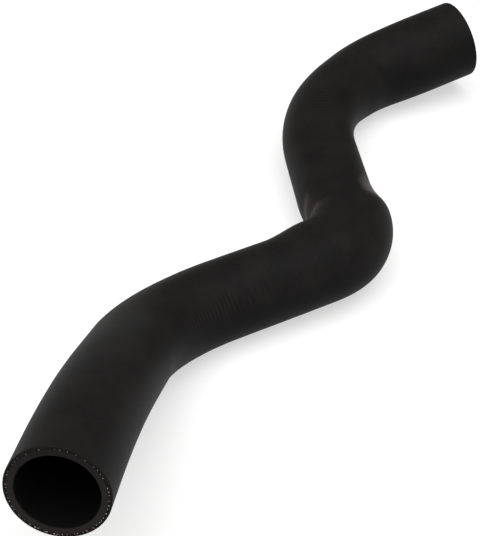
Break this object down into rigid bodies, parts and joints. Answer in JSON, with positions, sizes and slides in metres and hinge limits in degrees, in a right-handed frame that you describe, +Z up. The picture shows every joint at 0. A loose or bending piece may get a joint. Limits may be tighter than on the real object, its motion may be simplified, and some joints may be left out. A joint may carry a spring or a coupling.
{
  "type": "charge air hose",
  "caption": "Formed rubber duct that bends in several planes, with a plain cuff at the near end and a wider cuff at the far end, for pressurised intake air.",
  "frame": {"origin": "on the surface that the hose lies on, under the middle of its box", "axes": "+Z up from the surface that the hose lies on, +Y along the hose's longer side from the near cuff towards the far cuff, +X towards the side where the far cuff points"},
  "size_m": [0.3234, 0.5814, 0.126],
  "materials": {
    "rubber": "matte"
  },
  "bodies": {
    "root": {"charge_air_hose": "rubber"}
  },
  "joints": []
}
